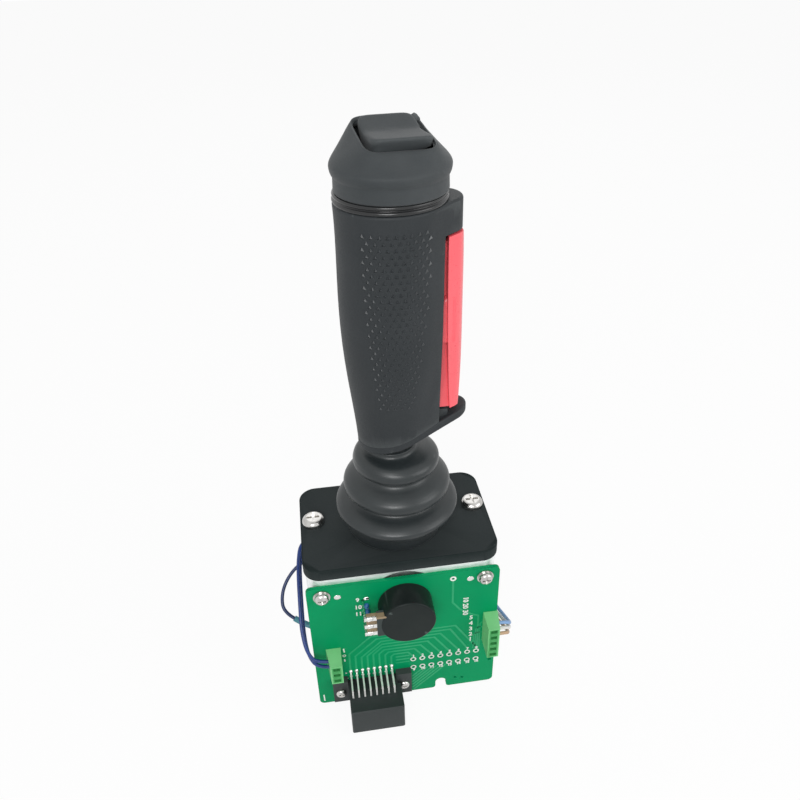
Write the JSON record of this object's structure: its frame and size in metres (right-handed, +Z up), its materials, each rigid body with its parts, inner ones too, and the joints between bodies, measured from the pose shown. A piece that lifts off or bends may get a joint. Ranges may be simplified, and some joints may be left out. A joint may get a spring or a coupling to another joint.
{
  "type": "industrial joystick",
  "caption": "One-axis hand joystick: teardrop grip with trigger and thumb rocker on a sprung lever through a bellows boot, with a circuit board on its frame.",
  "frame": {"origin": "centre of the mounting plate's top face, on the axis of the bellows and the upright lever", "axes": "+Z up along the upright lever, +X towards the trigger's nose, -Y towards the circuit board's front"},
  "size_m": [0.0972, 0.0671, 0.2395],
  "materials": {
    "plate_black": "satin textured",
    "frame_aluminium": "machined",
    "boot_rubber": "satin",
    "bush_bronze": "machined",
    "steel": "ground",
    "screw_nickel": "plated",
    "spring_steel": "drawn",
    "board_green": "solder resist",
    "pot_black": "satin",
    "tin": "tinned",
    "capacitor_blue": "gloss",
    "terminal_green": "satin",
    "header_black": "satin",
    "switch_black": "satin",
    "plunger_white": "satin",
    "wire_blue": "satin",
    "wire_dark": "satin",
    "sleeve_teal": "satin",
    "wire_light_blue": "satin",
    "wire_white": "satin",
    "wire_tan": "satin",
    "grip_black": "moulded",
    "trigger_red": "gloss",
    "ring_black": "gloss",
    "cap_rubber": "matte"
  },
  "bodies": {
    "base": {"mounting_plate": "plate_black", "frame_housing": "frame_aluminium", "plate_screws": "screw_nickel", "bellows_boot": "boot_rubber", "front_bearing": "bush_bronze", "rear_bearing": "bush_bronze", "spring_anchor": "steel", "centring_spring": "spring_steel", "circuit_board": "board_green", "board_screws": "screw_nickel", "board_washers": "screw_nickel", "potentiometer_body": "pot_black", "potentiometer_nut": "screw_nickel", "potentiometer_lugs": "tin", "blue_capacitor": "capacitor_blue", "left_terminal_block": "terminal_green", "right_terminal_block": "terminal_green", "terminal_tails": "tin", "header_housing": "header_black", "header_pins": "tin", "header_screws": "screw_nickel", "right_switch": "switch_black", "left_switch": "switch_black", "right_switch_blades": "tin", "left_switch_blades": "tin", "switch_screws": "screw_nickel", "blue_wire_a": "wire_blue", "blue_wire_b": "wire_blue", "dark_wire": "wire_dark", "wire_sleeve": "sleeve_teal", "light_blue_wire": "wire_light_blue", "white_wire": "wire_white", "tan_wire": "wire_tan"},
    "lever": {"pivot_shaft": "steel", "retaining_clip": "spring_steel", "potentiometer_shaft": "steel", "lever_hub": "frame_aluminium", "hub_set_screw": "steel", "lever_tube": "steel", "grip_shell": "grip_black", "grip_base_plate": "plate_black", "base_plate_screws": "screw_nickel", "tube_clamp": "frame_aluminium", "clamp_screw": "steel", "trigger_pin": "steel", "trigger_switch": "switch_black", "trigger_spring": "spring_steel", "bezel_ring": "ring_black", "cap_boot": "cap_rubber", "rocker_carrier": "switch_black", "rocker_pin": "steel", "rocker_springs": "spring_steel"},
    "trigger": {"trigger": "trigger_red"},
    "trigger_plunger": {"trigger_plunger": "plunger_white"},
    "rocker": {"rocker_lever": "switch_black", "rocker_pad": "cap_rubber"},
    "left_plunger": {"left_switch_plunger": "plunger_white"},
    "right_plunger": {"right_switch_plunger": "plunger_white"}
  },
  "joints": [
    {"name": "lever_tilt", "type": "hinge", "parent": "base", "child": "lever", "pos_m": [0, 0, -0.0225], "axis": [0, 1, 0], "range_deg": [-20, 20], "stiffness_Nm_per_rad": 1.5, "deforming": ["bellows_boot", "centring_spring"]},
    {"name": "trigger_pull", "type": "hinge", "parent": "lever", "child": "trigger", "pos_m": [0.0158, 0, 0.119], "axis": [0, 1, 0], "range_deg": [0, 3.5], "stiffness_Nm_per_rad": 2, "springref_deg": -1.15, "deforming": ["trigger_spring"]},
    {"name": "trigger_plunger_press", "type": "slide", "parent": "lever", "child": "trigger_plunger", "axis": [-1, 0, 0], "range_m": [0, 0.002]},
    {"name": "rocker_rock", "type": "hinge", "parent": "lever", "child": "rocker", "pos_m": [0.0028, 0, 0.148], "axis": [0.9945, 0.1045, 0], "range_deg": [-7, 7], "stiffness_Nm_per_rad": 0.3, "deforming": ["rocker_springs"]},
    {"name": "left_plunger_press", "type": "slide", "parent": "base", "child": "left_plunger", "axis": [-1, 0, 0], "range_m": [0, 0.0006], "stiffness_N_per_m": 300, "springref_m": -0.0005},
    {"name": "right_plunger_press", "type": "slide", "parent": "base", "child": "right_plunger", "axis": [1, 0, 0], "range_m": [0, 0.0006], "stiffness_N_per_m": 300, "springref_m": -0.0005}
  ],
  "couplings": [
    {"joint": "trigger_plunger_press", "follows": "trigger_pull", "m_per_rad": 0.0285}
  ]
}
